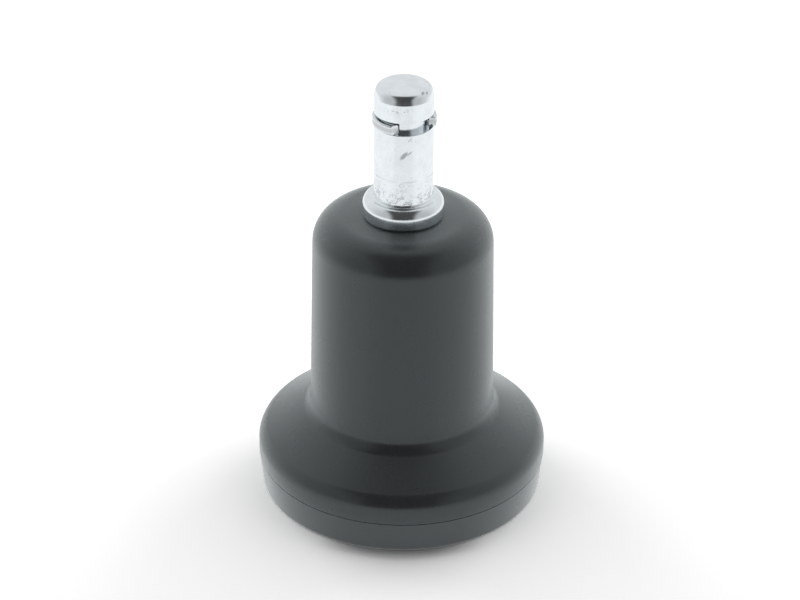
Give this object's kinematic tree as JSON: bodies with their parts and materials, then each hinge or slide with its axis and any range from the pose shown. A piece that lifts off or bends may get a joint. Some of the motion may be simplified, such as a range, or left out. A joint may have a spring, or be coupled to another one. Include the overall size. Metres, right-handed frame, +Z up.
{
  "type": "office chair glide",
  "caption": "Fixed bell glide for a swivel chair base: hollow moulded bell with a snap-in base cap, plated steel stem with a collar and a split grip ring in its groove.",
  "frame": {"origin": "centre of the flat underside, where the glide stands on the floor", "axes": "+Z up along the stem; -Y is the side on which the grip ring is open; +X to the right seen from that side"},
  "size_m": [0.0548, 0.0548, 0.0838],
  "materials": {
    "bell_plastic": "satin moulded nylon, near black with a cool grey cast, fine mould texture",
    "cap_plastic": "smooth moulded nylon, slightly lighter than the bell",
    "plated_steel": "bright zinc plating on turned steel, mottled and lightly scuffed",
    "ring_steel": "bright zinc plating on formed spring steel wire"
  },
  "bodies": {
    "root": {"bell_body": "bell_plastic", "base_cap": "cap_plastic", "stem": "plated_steel", "grip_ring": "ring_steel"}
  },
  "joints": []
}
